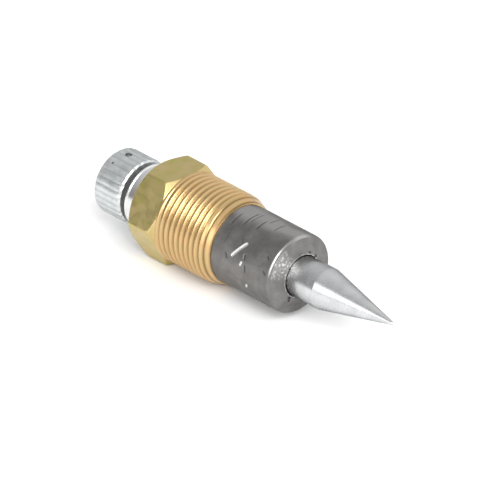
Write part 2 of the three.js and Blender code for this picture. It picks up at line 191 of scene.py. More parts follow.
class Shader:
    """A node material under construction."""

    def __init__(self, name, roughness, metallic):
        self.material = bpy.data.materials.new(name)
        self.material.use_nodes = True
        self.tree = self.material.node_tree
        self.surface = self.tree.nodes["Principled BSDF"]
        self.surface.inputs["Metallic"].default_value = metallic
        self.surface.inputs["Roughness"].default_value = roughness
        self.place = self.add("ShaderNodeTexCoord").outputs["Object"]

    def edge_tint(self, value):
        """Below 1, the metal gets darker where it is seen at a grazing angle."""
        self.surface.inputs["Specular Tint"].default_value = (value, value, value, 1)

    def add(self, kind, settings=None, **inputs):
        node = self.tree.nodes.new(kind)
        for key, value in (settings or {}).items():
            setattr(node, key, value)
        for key, value in inputs.items():
            socket = node.inputs[key.replace("_", " ")]
            if isinstance(value, bpy.types.NodeSocket):
                self.tree.links.new(value, socket)
            else:
                socket.default_value = value
        return node

    def blotches(self, size, detail=3.0, low=0.35, high=0.65):
        """Soft noise from 0 to 1 whose blotches are about size metres across."""
        made = self.add("ShaderNodeTexNoise", Vector=self.place, Scale=1 / size, Detail=detail)
        spread = self.add("ShaderNodeMapRange", Value=made.outputs["Fac"])
        spread.inputs["From Min"].default_value = low
        spread.inputs["From Max"].default_value = high
        return spread.outputs["Result"]

    def rings(self, spacing, detail=2.0):
        """Noise that changes only along X: the marks of a turning tool."""
        along = self.add("ShaderNodeSeparateXYZ", Vector=self.place).outputs["X"]
        made = self.add(
            "ShaderNodeTexNoise", {"noise_dimensions": "1D"}, W=along, Scale=1 / spacing, Detail=detail)
        return made.outputs["Fac"]

    def streaks(self, across, along):
        """Noise drawn out along X, as scratches from sliding the piece in and out."""
        scale = self.add("ShaderNodeMapping", Vector=self.place)
        scale.inputs["Scale"].default_value = (1 / along, 1 / across, 1 / across)
        made = self.add("ShaderNodeTexNoise", Vector=scale.outputs["Vector"], Scale=1.0, Detail=4.0)
        return made.outputs["Fac"]

    def mask(self, name):
        return self.add("ShaderNodeAttribute", {"attribute_name": name}).outputs["Fac"]

    def mix_color(self, factor, first, second):
        node = self.tree.nodes.new("ShaderNodeMix")
        node.data_type = "RGBA"
        self.tree.links.new(factor, node.inputs[0])
        for socket, value in ((node.inputs[6], first), (node.inputs[7], second)):
            if isinstance(value, bpy.types.NodeSocket):
                self.tree.links.new(value, socket)
            else:
                socket.default_value = (*value, 1)
        return node.outputs[2]

    def mix_value(self, factor, first, second):
        node = self.tree.nodes.new("ShaderNodeMix")
        self.tree.links.new(factor, node.inputs[0])
        for socket, value in ((node.inputs[2], first), (node.inputs[3], second)):
            if isinstance(value, bpy.types.NodeSocket):
                self.tree.links.new(value, socket)
            else:
                socket.default_value = value
        return node.outputs[0]

    def color(self, socket):
        self.tree.links.new(socket, self.surface.inputs["Base Color"])

    def roughness(self, socket):
        self.tree.links.new(socket, self.surface.inputs["Roughness"])

    def bump(self, *layers):
        """Stacks (height socket, depth in metres) layers of fine relief."""
        normal = None
        for height, depth in layers:
            node = self.add("ShaderNodeBump", Height=height, Distance=depth, Strength=1.0)
            if normal is not None:
                self.tree.links.new(normal, node.inputs["Normal"])
            normal = node.outputs["Normal"]
        self.tree.links.new(normal, self.surface.inputs["Normal"])


def brass():
    s = Shader("brass", 0.3, 1.0)
    dull = s.mix_color(s.blotches(2.2 * MM), (0.53, 0.44, 0.19), (0.58, 0.45, 0.22))
    dull = s.mix_color(s.blotches(1.8 * MM, low=0.45, high=0.8), dull, (0.46, 0.42, 0.12))
    fresh = s.mix_color(s.blotches(1.8 * MM), (0.66, 0.425, 0.20), (0.60, 0.43, 0.21))
    # Darker towards the thread roots: painted shade in the grooves.
    fresh = s.mix_color(s.mask("painted_recess_shade"), fresh, (0.13, 0.08, 0.025))
    s.color(s.mix_color(s.mask("thread"), dull, fresh))
    satin = s.mix_value(s.blotches(1.2 * MM), 0.36, 0.46)
    s.roughness(s.mix_value(s.mask("thread"), satin, 0.30))
    s.bump((s.rings(0.09 * MM), 0.003 * MM), (s.blotches(0.25 * MM), 0.005 * MM))
    return s.material


def dark_steel():
    s = Shader("blackened_steel", 0.4, 1.0)
    s.edge_tint(0.6)
    tone = s.mix_color(s.blotches(1.8 * MM, low=0.4, high=0.6), (0.155, 0.149, 0.146), (0.26, 0.25, 0.243))
    mottled = s.mix_color(s.blotches(0.45 * MM, low=0.45, high=0.75), tone, (0.165, 0.17, 0.16))
    turned = s.mix_color(s.rings(0.30 * MM), mottled, (0.22, 0.212, 0.206))
    # A lighter band along the top of the barrel: painted sheen.
    painted_sheen = s.mix_color(s.mask("painted_sheen"), turned, (0.38, 0.375, 0.37))
    # Darker: rub marks and dark nicks, and painted shade in spots round the mouth.
    rubbed_and_shaded = s.mix_color(s.mask("rubs_and_shade"), painted_sheen, (0.05, 0.048, 0.047))
    # Bare metal of nicks and burrs, plus painted highlight on the rim and front face.
    s.color(s.mix_color(s.mask("bare_and_glint"), rubbed_and_shaded, (0.95, 0.94, 0.92)))
    satin = s.mix_value(s.blotches(1.5 * MM), 0.40, 0.52)
    s.roughness(s.mix_value(s.mask("bare_and_glint"), satin, 0.3))
    s.bump((s.rings(0.12 * MM), 0.005 * MM), (s.blotches(0.2 * MM, detail=5.0), 0.008 * MM))
    return s.material


def ground_steel(name, light, dark, smooth, rough, ring_depth, grain_depth, edge_tint=1.0):
    s = Shader(name, smooth, 1.0)
    s.edge_tint(edge_tint)
    s.color(s.mix_color(s.blotches(2.0 * MM), light, dark))
    s.roughness(s.mix_value(s.blotches(0.9 * MM), smooth, rough))
    s.bump((s.rings(0.07 * MM), ring_depth), (s.blotches(0.15 * MM), grain_depth))
    return s.material


def knurled_steel():
    s = Shader("knurled_steel", 0.4, 1.0)
    s.edge_tint(0.4)
    tone = s.mix_color(s.blotches(1.6 * MM), (0.72, 0.745, 0.75), (0.60, 0.625, 0.63))
    # Darker in the rib valleys: painted shade.
    ribbed = s.mix_color(s.mask("painted_recess_shade"), tone, (0.50, 0.52, 0.52))
    s.color(s.mix_color(s.mask("pit"), ribbed, (0.10, 0.10, 0.10)))
    satin = s.mix_value(s.blotches(0.7 * MM), 0.36, 0.50)
    s.roughness(s.mix_value(s.mask("pit"), satin, 0.8))
    s.bump((s.streaks(0.08 * MM, 0.7 * MM), 0.010 * MM), (s.blotches(0.25 * MM), 0.008 * MM))
    return s.material


def soft_material(name, light, dark, rough, grain, depth):
    s = Shader(name, rough, 0.0)
    s.color(s.mix_color(s.blotches(grain), light, dark))
    s.roughness(s.mix_value(s.blotches(3 * grain), rough, min(1.0, rough + 0.12)))
    s.bump((s.blotches(grain, detail=4.0), depth))
    return s.material


def felt():
    s = Shader("felt", 0.95, 0.0)
    fibres = s.add("ShaderNodeTexNoise", Vector=s.place, Scale=1 / (0.09 * MM), Detail=6.0, Distortion=2.5)
    s.color(s.mix_color(fibres.outputs["Fac"], (0.20, 0.18, 0.15), (0.40, 0.37, 0.32)))
    s.surface.inputs["Sheen Weight"].default_value = 0.4
    s.bump((fibres.outputs["Fac"], 0.05 * MM))
    return s.material


MATERIALS = {
    "brass_body": brass(),
    "dark_sleeve": dark_steel(),
    "knurled_steel": knurled_steel(),
    "polished_steel": ground_steel(
        "polished_steel", (0.63, 0.64, 0.645), (0.55, 0.56, 0.57), 0.24, 0.30, 0.0012 * MM, 0.0006 * MM,
        edge_tint=0.3),
    "turned_steel": ground_steel(
        "turned_steel", (0.82, 0.82, 0.81), (0.72, 0.725, 0.73), 0.16, 0.26, 0.003 * MM, 0.0012 * MM),
    "spring_steel": ground_steel(
        "spring_steel", (0.36, 0.36, 0.37), (0.24, 0.24, 0.26), 0.28, 0.4, 0.001 * MM, 0.003 * MM),
    "bronze": ground_steel(
        "sintered_bronze", (0.55, 0.36, 0.17), (0.42, 0.25, 0.11), 0.36, 0.5, 0.002 * MM, 0.008 * MM),
    "copper": ground_steel(
        "annealed_copper", (0.70, 0.38, 0.24), (0.52, 0.25, 0.15), 0.32, 0.46, 0.002 * MM, 0.004 * MM),
    "seal_rubber": soft_material(
        "seal_rubber", (0.022, 0.022, 0.024), (0.04, 0.04, 0.04), 0.5, 0.3 * MM, 0.01 * MM),
    "white_plastic": soft_material(
        "white_plastic", (0.86, 0.84, 0.80), (0.76, 0.74, 0.69), 0.4, 0.6 * MM, 0.004 * MM),
    "felt": felt(),
}


# ---- mesh building ----

def rounded(profile, radius, closed, steps=4):
    """The profile [(x, r)] with each of its corners turned into a small arc."""
    points = [Vector(p) for p in profile]
    count = len(points)
    result = []
    for i, corner in enumerate(points):
        if not closed and i in (0, count - 1):
            result.append(tuple(corner))
            continue
        before = points[i - 1] - corner
        after = points[(i + 1) % count] - corner
        bend = math.pi - before.angle(after)
        if bend < math.radians(8):
            result.append(tuple(corner))
            continue
        cut = min(radius * math.tan(bend / 2), 0.45 * before.length, 0.45 * after.length)
        start = corner + before.normalized() * cut
        end = corner + after.normalized() * cut
        for k in range(steps + 1):
            t = k / steps
            result.append(tuple(start * (1 - t) ** 2 + corner * 2 * t * (1 - t) + end * t ** 2))
    return result


def split_long(profile, longest, closed=False):
    """The profile with extra points, so that no step is longer than the given length."""
    pairs = list(zip(profile, profile[1:] + (profile[:1] if closed else [])))
    result = []
    for (x0, r0), (x1, r1) in pairs:
        parts = max(1, math.ceil(math.hypot(x1 - x0, r1 - r0) / longest))
        for k in range(parts):
            t = k / parts
            result.append((x0 + (x1 - x0) * t, r0 + (r1 - r0) * t))
    if not closed:
        result.append(profile[-1])
    return result


def revolve(name, profile, sides, closed, shape=None, masks=()):
    """Turns a profile about the X axis. shape(x, r, angle) gives the radius of each point,
    and each (mask name, function of x, r and angle) in masks is stored on the points."""
    mesh = bpy.data.meshes.new(name)
    verts, faces, rings = [], [], []
    values = {mask: [] for mask, _ in masks}
    on_axis = 1e-7
    for x, r in profile:
        count = 1 if r < on_axis else sides
        rings.append((len(verts), count))
        for k in range(count):
            angle = TURN * k / sides
            radius = r if shape is None or count == 1 else shape(x, r, angle)
            verts.append((x, radius * math.cos(angle), radius * math.sin(angle)))
            for mask, function in masks:
                values[mask].append(function(x, r, angle))
    pairs = list(zip(rings, rings[1:] + (rings[:1] if closed else [])))
    for (a, count_a), (b, count_b) in pairs:
        for k in range(sides):
            n = (k + 1) % sides
            if count_a == 1:
                faces.append((a, b + n, b + k))
            elif count_b == 1:
                faces.append((a + k, a + n, b))
            else:
                faces.append((a + k, a + n, b + n, b + k))
    mesh.from_pydata(verts, [], faces)
    for mask, numbers in values.items():
        mesh.attributes.new(mask, "FLOAT", "POINT").data.foreach_set("value", numbers)
    face_outward(mesh)
    return mesh


def face_outward(mesh):
    work = bmesh.new()
    work.from_mesh(mesh)
    bmesh.ops.recalc_face_normals(work, faces=work.faces)
    work.to_mesh(mesh)
    work.free()


def sweep(name, centres, radius, sides=14):
    """A round wire along a line of points."""
    mesh = bpy.data.meshes.new(name)
    verts, faces = [], []
    side = Vector((1, 0, 0))
    for i, centre in enumerate(centres):
        ahead = centres[min(i + 1, len(centres) - 1)] - centres[max(i - 1, 0)]
        ahead.normalize()
        side = (side - ahead * side.dot(ahead)).normalized()
        other = ahead.cross(side)
        for k in range(sides):
            angle = TURN * k / sides
            verts.append(centre + side * (radius * math.cos(angle)) + other * (radius * math.sin(angle)))
    for i in range(len(centres) - 1):
        for k in range(sides):
            n = (k + 1) % sides
            a, b = i * sides, (i + 1) * sides
            faces.append((a + k, a + n, b + n, b + k))
    faces.append(tuple(reversed(range(sides))))
    faces.append(tuple(range((len(centres) - 1) * sides, len(centres) * sides)))
    mesh.from_pydata(verts, [], faces)
    face_outward(mesh)
    return mesh


def extruded(name, outline, x0, x1, bevel):
    """An outline [(y, z)] made solid from x0 to x1, with its edges broken."""
    mesh = bpy.data.meshes.new(name)
    count = len(outline)
    verts = [(x, y, z) for x in (x0, x1) for y, z in outline]
    faces = [tuple(range(count)), tuple(range(count, 2 * count))]
    for k in range(count):
        n = (k + 1) % count
        faces.append((k, n, count + n, count + k))
    mesh.from_pydata(verts, [], faces)
    face_outward(mesh)
    limit = math.radians(40)
    return modified(mesh, "BEVEL", width=bevel, segments=3, limit_method="ANGLE", angle_limit=limit)


def modified(mesh, kind, **settings):
    """The mesh after one modifier."""
    carrier = bpy.data.objects.new(mesh.name, mesh)
    bpy.context.scene.collection.objects.link(carrier)
    modifier = carrier.modifiers.new(kind.lower(), kind)
    for key, value in settings.items():
        setattr(modifier, key, value)
    graph = bpy.context.evaluated_depsgraph_get()
    result = bpy.data.meshes.new_from_object(carrier.evaluated_get(graph))
    result.name = mesh.name
    bpy.data.objects.remove(carrier)
    return result


def with_hole(mesh, cutter_mesh):
    cutter = bpy.data.objects.new("cutter", cutter_mesh)
    bpy.context.scene.collection.objects.link(cutter)
    result = modified(mesh, "BOOLEAN", operation="DIFFERENCE", solver="EXACT", object=cutter)
    bpy.data.objects.remove(cutter)
    return result


def piece(node, mesh, sharp=40.0):
    """Puts a finished mesh in the place of a CAD node."""
    for polygon in mesh.polygons:
        polygon.use_smooth = True
    mesh.set_sharp_from_angle(angle=math.radians(sharp))
    mesh.materials.clear()
    mesh.materials.append(MATERIALS[SLOT_OF[node]])
    made = bpy.data.objects.new(node + "_finished", mesh)
    bpy.context.scene.collection.objects.link(made)
    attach(made, BODY_OF[node])
    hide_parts(node)
    return made


def smooth_min(a, b, width):
    """The smaller of two values, blended over a width where they are nearly the same."""
    near = max(width - abs(a - b), 0.0) / width
    return min(a, b) - near * near * width / 4


def ease(value):
    """A smooth step from 0 to 1."""
    t = min(1.0, max(0.0, value))
    return t * t * (3 - 2 * t)


def washer_profile(x0, x1, inner, outer):
    return [(x0, inner), (x0, outer), (x1, outer), (x1, inner)]


# ---- the brass body ----

PITCH = 25.4 / 24 * MM
THREAD_DEPTH = 0.50 * MM
THREAD_OPENING = 0.37  # half the groove's width as a share of the pitch
ROOT_ROUNDING = 0.12  # share of a groove's depth that its rounded root takes
FLAT_SHARPNESS = 90.0  # higher means sharper corners between the wrench flats
WEAR_DEPTH = 0.008 * MM

HEX_REAR, THREAD_FRONT = ends("hex_body")
HEX_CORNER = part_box("hex_body")[1].y
HEX_FLAT = HEX_CORNER * math.cos(math.pi / 6)
HEX_FACE_RADIUS = HEX_FLAT - 0.03 * MM  # round rim of the end faces
REAR_CHAMFER = 1.04 * MM
FRONT_CHAMFER = 0.85 * MM
THREAD_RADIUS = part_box("hex_body")[1].z
LEAD_DEPTH = 0.76 * MM
LEAD_LENGTH = 2.0 * MM
THREAD_START = 0.9 * MM  # where the groove comes up to full depth
BOLT_START = -0.45 * MM  # the thread's cylinder starts this far inside the hexagon


def hex_radius(angle):
    total = 0.0
    for k in range(6):
        facing = math.cos(angle - math.radians(30 + 60 * k))
        if facing > 0:
            total += (facing / HEX_FLAT) ** FLAT_SHARPNESS
    return total ** (-1 / FLAT_SHARPNESS)


def thread_groove(x, angle):
    """Depth of the thread's groove as a share from 0 to 1."""
    place = (x / PITCH - angle / TURN) % 1.0
    from_root = min(place, 1 - place)
    v_shape = 1 - math.hypot(from_root / THREAD_OPENING, ROOT_ROUNDING)
    return max(0.0, v_shape) * ease(x / THREAD_START)


def brass_radius(x, r, angle):
    rise = HEX_CORNER - HEX_FACE_RADIUS
    rear_cone = HEX_FACE_RADIUS + (x - HEX_REAR) * rise / REAR_CHAMFER
    front_cone = HEX_FACE_RADIUS - x * rise / FRONT_CHAMFER
    hexagon = smooth_min(hex_radius(angle), min(rear_cone, front_cone), 0.06 * MM)
    if x < BOLT_START:
        return hexagon
    groove = THREAD_DEPTH * thread_groove(x, angle)
    end_cone = THREAD_RADIUS - LEAD_DEPTH * (1 - (THREAD_FRONT - x) / LEAD_LENGTH)
    bolt = smooth_min(THREAD_RADIUS - groove, end_cone, 0.05 * MM)
    return max(hexagon, bolt)


def brass_body():
    """Outside: hexagon and thread. Inside: the CAD solid's stepped bore."""
    edge = 0.08 * MM
    stations = [HEX_REAR + edge * 0.3, HEX_REAR + edge]
    fine = 0.06 * MM
    x = HEX_REAR + edge + fine
    while x < THREAD_FRONT - edge:
        stations.append(x)
        on_flats = HEX_REAR + REAR_CHAMFER + 2 * fine < x < -FRONT_CHAMFER - 4 * fine
        x += 8 * fine if on_flats else fine if x < 0 else PITCH / 16
    stations += [THREAD_FRONT - edge, THREAD_FRONT - edge * 0.3]
    seat, seat_end = 5.75 * MM, 6.5 * MM
    drive, drive_end = 3.05 * MM, -0.5 * MM
    seals, seals_end = 3.65 * MM, -2.98 * MM
    gland = 4.45 * MM
    inside = rounded([
        (THREAD_FRONT, THREAD_RADIUS - LEAD_DEPTH - edge),
        (THREAD_FRONT, seat),
        (seat_end, seat),
        (seat_end, drive),
        (drive_end, drive),
        (drive_end, seals),
        (seals_end, seals),
        (seals_end, gland),
        (HEX_REAR, gland),
        (HEX_REAR, HEX_FACE_RADIUS - edge),
    ], 0.08 * MM, closed=False)
    profile = [(x, HEX_CORNER) for x in stations] + inside

    def shape(x, r, angle):
        if r < HEX_CORNER:
            return r
        radius = brass_radius(x, r, angle)
        wear = noise.noise(Vector((x, radius * math.cos(angle), radius * math.sin(angle))) / (0.9 * MM))
        return radius - WEAR_DEPTH * abs(wear)

    # The groove depth, stored so the thread roots can be darkened as painted shade.
    def painted_recess_shade(x, r, angle):
        if r < HEX_CORNER or x < 0:
            return 0.0
        return thread_groove(x, angle) ** 1.5

    def thread(x, r, angle):
        return ease((x + 0.4 * MM) / (0.5 * MM))

    mesh = revolve("brass_body", profile, 360, True, shape, [("painted_recess_shade", painted_recess_shade), ("thread", thread)])
    return piece("hex_body", mesh, sharp=55)


# ---- the dark sleeve ----

SLEEVE_SHOULDER = THREAD_FRONT + 0.02 * MM
SLEEVE_RADIUS = radii("guide_sleeve")[1]
SLEEVE_MOUTH = ends("guide_sleeve")[1]
SLEEVE_RIM = SLEEVE_MOUTH - 0.75 * MM
MOUTH_RADIUS = 3.285 * MM

RIM_GLINT_ANGLE = 143.0  # the rim is painted bright round this angle, in degrees: a painted highlight, which also sets where the front face's specks are painted

# Scars on the sleeve: start and end as (x in mm, angle in degrees), width in mm, depth in mm
# and share of bare metal.
SCARS = [
    ((17.10, 137.5), (15.30, 159.8), 0.36, 0.080, 1.0),
    ((17.35, 163.5), (17.20, 167.5), 0.24, 0.060, 0.85),
    ((17.60, 151.5), (17.70, 157.0), 0.26, 0.080, 0.0),
    ((18.05, 166.0), (18.25, 173.0), 0.26, 0.080, 0.0),
    ((18.60, 193.5), (18.35, 197.5), 0.24, 0.060, 0.8),
    ((16.20, 139.0), (15.90, 132.0), 0.10, 0.030, 0.0),
    ((13.20, 134.0), (13.05, 150.0), 0.12, 0.012, 0.08),
    ((21.90, 160.0), (22.40, 163.0), 0.20, 0.040, 0.0),
    ((21.70, 139.0), (22.10, 142.0), 0.16, 0.035, 0.0),
    ((13.90, 161.0), (14.30, 166.0), 0.22, 0.035, 0.0),
    ((15.40, 20.0), (17.90, 28.0), 0.12, 0.040, 0.6),
    ((19.80, 262.0), (18.60, 275.0), 0.14, 0.035, 0.4),
    ((12.60, 315.0), (14.90, 322.0), 0.10, 0.030, 0.3),
]

# Darker partial rings: x in mm, angle range in degrees, width in mm.
RUBS = [
    (14.30, 82.0, 118.0, 0.22),
    (14.95, 78.0, 112.0, 0.16),
    (16.75, 88.0, 116.0, 0.26),
    (17.40, 70.0, 96.0, 0.18),
    (19.30, 76.0, 104.0, 0.20),
    (12.40, 96.0, 126.0, 0.20),
    (20.60, 205.0, 240.0, 0.20),
    (13.60, 215.0, 250.0, 0.24),
    (16.10, 300.0, 350.0, 0.20),
]


def scar_share(x, angle, scar):
    """1 on a scar's centre line, falling to 0 at its edge and below 0 outside."""
    (x0, a0), (x1, a1), width, _, _ = scar
    around = SLEEVE_RADIUS * math.radians(1)
    here = Vector((x, math.degrees(angle) * around))
    start = Vector((x0 * MM, a0 * around))
    line = Vector((x1 * MM, a1 * around)) - start
    along = min(1.0, max(0.0, (here - start).dot(line) / line.length_squared))
    return 1 - (here - start - line * along).length / (width * MM)


def rub_share(x, angle, shift):
    """How much of a partial ring lies here, with all rings shifted along X by shift times their width."""
    degrees = math.degrees(angle)
    drift = 0.35 * noise.noise(Vector((x / (2 * MM), degrees / 12, 0)))
    most = 0.0
    for at, start, end, width in RUBS:
        near = ease(1 - abs(x / MM - at - shift * width + drift * width) / width)
        inside = ease((degrees - start) / 8) * ease((end - degrees) / 8)
        most = max(most, near * inside)
    return most


# Dark spots on the front face round the mouth, painted shade of the gap at the bore: distance from the axis
# in mm, angle in degrees, radius in mm.
FACE_SPOTS = [
    (3.70, 229.0, 0.34),
    (4.15, 234.0, 0.26),
    (3.62, 63.0, 0.26),
    (3.60, 38.0, 0.30),
    (4.30, 150.0, 0.16),
]


def face_spot(r, angle):
    most = 0.0
    for at, degrees, radius in FACE_SPOTS:
        turned = angle - math.radians(degrees)
        away = math.hypot(r / MM - at * math.cos(turned), at * math.sin(turned))
        ragged = 0.35 * noise.noise(Vector((r / (0.3 * MM), 9 * angle, 0)))
        most = max(most, ease(1.4 - away / radius + ragged))
    return most


def dark_marks_and_shade(x, r, angle):
    # On the front face the dark spots are painted shade; on the barrel they are rub marks and dark nicks.
    if r < SLEEVE_RADIUS - 0.5 * MM:
        return face_spot(r, angle)
    dark_scars = [(1 - scar[4]) * ease(1.6 * scar_share(x, angle, scar)) for scar in SCARS]
    return max(0.75 * rub_share(x, angle, 0), 0.7 * max(dark_scars))


SHEEN_SIDE = (62.0, 112.0)  # the top of the barrel is painted lighter between these angles, in degrees: painted sheen


def painted_top_sheen(x, r, angle):
    """A lighter band along the top of the barrel, between the angles set above: painted sheen."""
    if r < SLEEVE_RADIUS - 0.5 * MM:
        return 0.0
    degrees = math.degrees(angle) + 9 * noise.noise(Vector((x / (3 * MM), 2 * angle, 5)))
    start, end = SHEEN_SIDE
    return ease((degrees - start) / 18) * ease((end - degrees) / 18)


def bare_metal_and_glints(x, r, angle):
    if r < SLEEVE_RADIUS - 0.1 * MM:
        return burr(x, r, angle)
    shares = [scar[4] * ease(1.6 * scar_share(x, angle, scar)) for scar in SCARS]
    # The bright arc on the rim round the glint angle is a painted highlight; the scars are bare metal.
    rim = ease(1 - abs(x - SLEEVE_RIM + 0.16 * MM) / (0.22 * MM))
    lit = ease(1.25 - abs(math.degrees(angle) - RIM_GLINT_ANGLE) / 20)
    return max(max(shares), 0.8 * rim * lit, 0.10 * rub_share(x, angle, -1.1))


def burr(x, r, angle):
    """Bare metal round the mouth, and over the front face specks and a lighter tone that are painted
    highlight, kept to the sector round the rim's glint angle.
    """
    if x < SLEEVE_RIM:
        return 0.0
    ragged = noise.noise(Vector((0, math.cos(angle), math.sin(angle))) * 5)
    lip = ease(1 - abs(r - MOUTH_RADIUS - 0.08 * MM) / (0.16 * MM))
    specks = noise.noise(Vector((x, r * math.cos(angle), r * math.sin(angle))) / (0.35 * MM))
    # The sector of the front face that gets the painted highlight.
    painted_sheen = ease(1.3 - abs(math.degrees(angle) - RIM_GLINT_ANGLE) / 26)
    return max(0.9 * lip * ease(0.5 + 1.5 * ragged), (0.15 + 0.5 * ease(2.2 * specks)) * painted_sheen)


def sleeve_radius(x, r, angle):
    place = Vector((x, r * math.cos(angle), r * math.sin(angle)))
    if r < SLEEVE_RADIUS - 0.1 * MM:
        if x < SLEEVE_RIM - 0.3 * MM:
            return r
        return r + 0.012 * MM * noise.noise(place / (0.5 * MM))
    radius = r + 0.010 * MM * noise.noise(place / (1.1 * MM))
    for scar in SCARS:
        share = scar_share(x, angle, scar)
        radius -= scar[3] * MM * ease(1.5 * share)
        radius += 0.25 * scar[3] * MM * ease(1 - abs(share + 0.2) / 0.3)
    scallop = 0.05 * MM * max(0.0, noise.noise(Vector((3, math.cos(angle), math.sin(angle))) * 6) - 0.1)
    radius -= scallop * ease((x - SLEEVE_RIM + 0.7 * MM) / (0.5 * MM))
    return min(radius, SLEEVE_RADIUS)


def guide_sleeve():
    tail = ends("guide_sleeve")[0]
    groove_x, groove_floor = (8.2 * MM, 9.0 * MM), 5.0 * MM
    tail_radius = 5.7 * MM
    chamber = 4.5 * MM
    bush_seat, bush_seat_x = 3.95 * MM, (17.07 * MM, 20.35 * MM)
    round_rim = 0.4 * MM
    outside = [
        (tail, tail_radius - 0.2 * MM), (tail + 0.2 * MM, tail_radius),
        (groove_x[0], tail_radius), (groove_x[0], groove_floor),
        (groove_x[1], groove_floor), (groove_x[1], tail_radius),
        (SLEEVE_SHOULDER, tail_radius),
    ]
    skin = SLEEVE_RADIUS - 0.012 * MM
    barrel = [(SLEEVE_SHOULDER, skin), (SLEEVE_RIM - round_rim, skin)]
    rim = []
    steps = 7
    for i in range(1, steps + 1):
        angle = math.pi / 2 * i / steps
        rim.append((
            SLEEVE_RIM - round_rim + round_rim * math.sin(angle),
            skin - round_rim + round_rim * math.cos(angle),
        ))
    front = [
        rim[-1],
        (SLEEVE_MOUTH - 0.06 * MM, MOUTH_RADIUS + 0.25 * MM),
        (SLEEVE_MOUTH, MOUTH_RADIUS + 0.1 * MM),
    ]
    inside = [
        (SLEEVE_MOUTH - 0.1 * MM, MOUTH_RADIUS), (bush_seat_x[1], MOUTH_RADIUS), (bush_seat_x[1], bush_seat),
        (bush_seat_x[0], bush_seat), (bush_seat_x[0], chamber), (tail, chamber),
    ]
    fine = 0.1 * MM
    profile = rounded(outside, 0.06 * MM, closed=False)
    profile += split_long(barrel, fine) + rim[:-1] + split_long(front, fine)
    profile += rounded(inside, 0.05 * MM, closed=False)
    masks = [("bare_and_glint", bare_metal_and_glints), ("rubs_and_shade", dark_marks_and_shade), ("painted_sheen", painted_top_sheen)]
    mesh = revolve("guide_sleeve", profile, 400, True, sleeve_radius, masks)
    return piece("guide_sleeve", mesh, sharp=50)


# ---- the needle and spindle ----

def needle():
    rear, tip = ends("needle")
    shank = 3.15 * MM
    head = radii("needle")[1]
    cone_start = 29.4 * MM
    swell_start = 24.1 * MM
    swell_end = 28.0 * MM
    tip_radius = 0.3 * MM
    hole, hole_end = 1.55 * MM, 18.0 * MM
    edge = 0.15 * MM
    profile = [(hole_end, 0.0), (hole_end, hole), (rear, hole), (rear, shank - edge), (rear + edge, shank)]
    profile = rounded(profile, 0.05 * MM, closed=False)
    steps = 24
    for i in range(steps + 1):
        t = i / steps
        profile.append((
            swell_start + (swell_end - swell_start) * t,
            shank + (head - shank) * math.sin(math.pi / 2 * t),
        ))
    slope = (head - tip_radius) / (tip - tip_radius - cone_start)
    cone = [(swell_end, head), (cone_start, head), (tip - tip_radius, tip_radius)]
    cone = rounded(cone, 1.2 * MM, closed=False, steps=8)
    profile += split_long(cone, 0.8 * MM)[1:-1]
    lean = math.atan(slope)
    nose = 8
    for i in range(nose + 1):
        angle = lean + (math.pi / 2 - lean) * i / nose
        profile.append((tip - tip_radius + tip_radius * math.sin(angle), tip_radius * math.cos(angle)))
    profile[-1] = (tip, 0.0)

    def shape(x, r, angle):
        if x < swell_start:
            return r
        place = Vector((x / (2.5 * MM), math.cos(angle), math.sin(angle)))
        return r - 0.006 * MM * abs(noise.noise(place * 1.3))

    return piece("needle", revolve("needle", profile, 192, False, shape), sharp=50)


def spindle():
    rear, front = ends("spindle")
    stem = 2.4 * MM
    thread_low, thread_high = 2.6 * MM, 8.7 * MM
    drive = radii("spindle")[1]
    nose = 2.5 * MM
    groove, groove_x = 2.05 * MM, (9.58 * MM, 10.22 * MM)
    stud, stud_start = 1.5 * MM, 14.0 * MM
    edge = 0.2 * MM
    metric_pitch = 1.0 * MM
    depth = 0.42 * MM
    opening = 0.42
    head = [(rear, 0.0), (rear, stem - edge), (rear + edge, stem), (thread_low, stem)]
    crests = [(thread_low + 0.35 * MM, drive), (thread_high - 0.3 * MM, drive)]
    threaded = split_long(crests, metric_pitch / 12)
    tail = [
        (thread_high, nose), (groove_x[0], nose), (groove_x[0], groove),
        (groove_x[1], groove), (groove_x[1], nose), (stud_start, nose), (stud_start, stud),
        (front - edge, stud), (front, stud - edge), (front, 0.0),
    ]
    profile = rounded(head, 0.05 * MM, closed=False) + threaded + rounded(tail, 0.05 * MM, closed=False)

    def shape(x, r, angle):
        if not thread_low < x < thread_high:
            return r
        place = (x / metric_pitch - angle / TURN) % 1.0
        from_root = min(place, 1 - place)
        return r - depth * max(0.0, 1 - math.hypot(from_root / opening, ROOT_ROUNDING))

    return piece("spindle", revolve("spindle", profile, 144, False, shape), sharp=50)


# ---- the knob and its grub screw ----

KNOB_RIBS = 28
KNOB_RIB_DEPTH = 0.085 * MM
KNOB_PIT = (-14.1 * MM, math.radians(120))  # where a chip is missing from the ribs
KNOB_PIT_RADIUS = 0.28 * MM
KNOB_PIT_DEPTH = 0.06 * MM
KNOB_CHAMFER = 0.38 * MM
FRONT_EDGE = 0.25 * MM  # chamfer on the knob's front edge
GRUB_X = sum(ends("knob_grub_screw")) / 2
GRUB_HOLE = 0.55 * MM
UPRIGHT = Matrix.Rotation(-math.pi / 2, 4, "Y")  # turns a piece made along X to stand along Z


def rib_valley(angle):
    return 1 - abs(math.cos(angle * KNOB_RIBS / 2))


